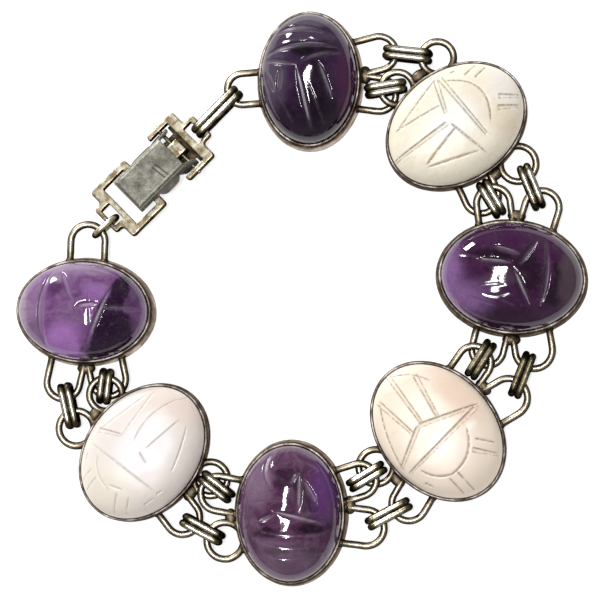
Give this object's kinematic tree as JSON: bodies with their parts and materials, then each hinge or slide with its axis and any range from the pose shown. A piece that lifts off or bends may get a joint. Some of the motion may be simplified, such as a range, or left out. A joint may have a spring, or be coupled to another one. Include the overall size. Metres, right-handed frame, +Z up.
{
  "type": "scarab bracelet",
  "caption": "Link bracelet of engraved oval amethyst and pale quartz stones in silver bezels, joined by pairs of double-ridged links, with a fold-over clasp.",
  "frame": {"origin": "under the middle of the bracelet's box, at the surface that it lies on", "axes": "+Z up through the stones; +Y from the stone opposite the clasp's far end towards the dark stone beside the hinge side of the clasp; +X towards the lone amethyst on the right"},
  "size_m": [0.0794, 0.0798, 0.0081],
  "materials": {
    "amethyst": "polished, translucent purple, engraved",
    "quartz": "polished, milky pale rose, engraved",
    "silver": "worn sterling silver with dark tarnish in its hollows"
  },
  "bodies": {
    "chain": {"clasp_catch_frame": "silver", "clasp_hinge_frame": "silver", "clasp_link": "silver", "clasp_pin": "silver", "clasp_tongue": "silver", "jump_ring": "silver", "link_inner_12": "silver", "link_inner_23": "silver", "link_inner_34": "silver", "link_inner_45": "silver", "link_inner_56": "silver", "link_inner_67": "silver", "link_outer_12": "silver", "link_outer_23": "silver", "link_outer_34": "silver", "link_outer_45": "silver", "link_outer_56": "silver", "link_outer_67": "silver", "setting_1": "silver", "setting_2": "silver", "setting_3": "silver", "setting_4": "silver", "setting_5": "silver", "setting_6": "silver", "setting_7": "silver", "stone_1": "amethyst", "stone_2": "quartz", "stone_3": "amethyst", "stone_4": "quartz", "stone_5": "amethyst", "stone_6": "quartz", "stone_7": "amethyst"},
    "lever": {"clasp_lever": "silver"}
  },
  "joints": [
    {"name": "lever_hinge", "type": "hinge", "parent": "chain", "child": "lever", "pos_m": [-0.01709, 0.02051, 0.0019], "axis": [-0.6964, 0.6964, -0.1736], "range_deg": [0, 88]}
  ]
}
